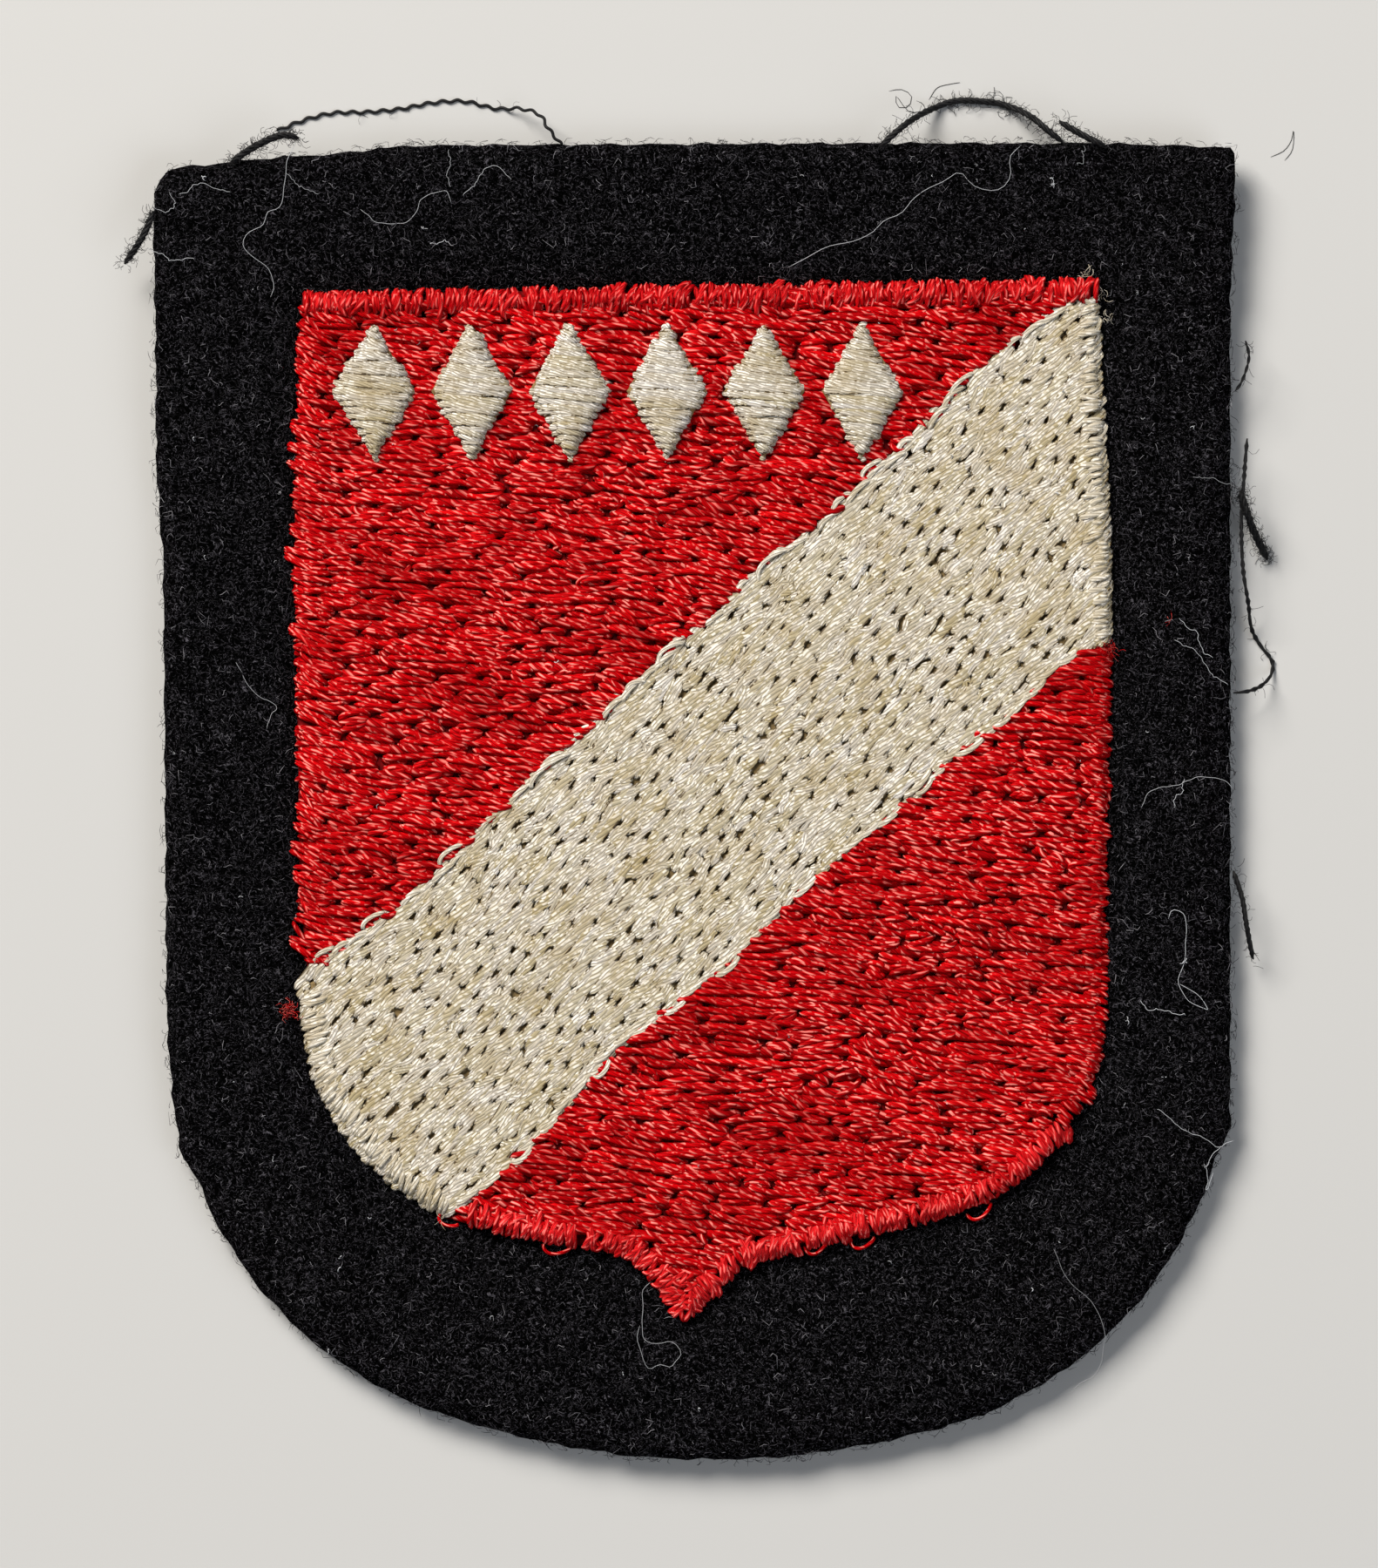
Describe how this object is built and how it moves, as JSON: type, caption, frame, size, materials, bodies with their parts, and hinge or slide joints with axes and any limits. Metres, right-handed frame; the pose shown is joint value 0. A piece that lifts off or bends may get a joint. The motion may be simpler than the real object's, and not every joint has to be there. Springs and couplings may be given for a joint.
{
  "type": "embroidered felt sleeve patch",
  "caption": "Shield of felt with a raised embroidered shield: two fields, a diagonal band, satin edges and a row of lozenges, to sew on a sleeve.",
  "frame": {"origin": "middle of the flat back, on the surface that the patch lies on: the centre of the bounding box's bottom", "axes": "+Z out of the embroidered face, +Y towards the shield's straight top edge, +X to the viewer's right when the face is read upright"},
  "size_m": [0.0622, 0.0758, 0.0029],
  "materials": {
    "wool_felt": "dense pressed wool felt, dyed black, with short loose fibres on its face and edges",
    "red_rayon": "twisted rayon embroidery thread in overlapping short stitches, silky",
    "cream_rayon": "twisted rayon embroidery thread in overlapping short stitches, silky, slightly yellowed"
  },
  "bodies": {
    "root": {"felt_backing": "wool_felt", "red_field_upper": "red_rayon", "cream_band": "cream_rayon", "red_field_lower": "red_rayon", "top_satin_edge": "red_rayon", "point_satin_edge": "red_rayon", "lozenge_1": "cream_rayon", "lozenge_2": "cream_rayon", "lozenge_3": "cream_rayon", "lozenge_4": "cream_rayon", "lozenge_5": "cream_rayon", "lozenge_6": "cream_rayon"}
  },
  "joints": []
}
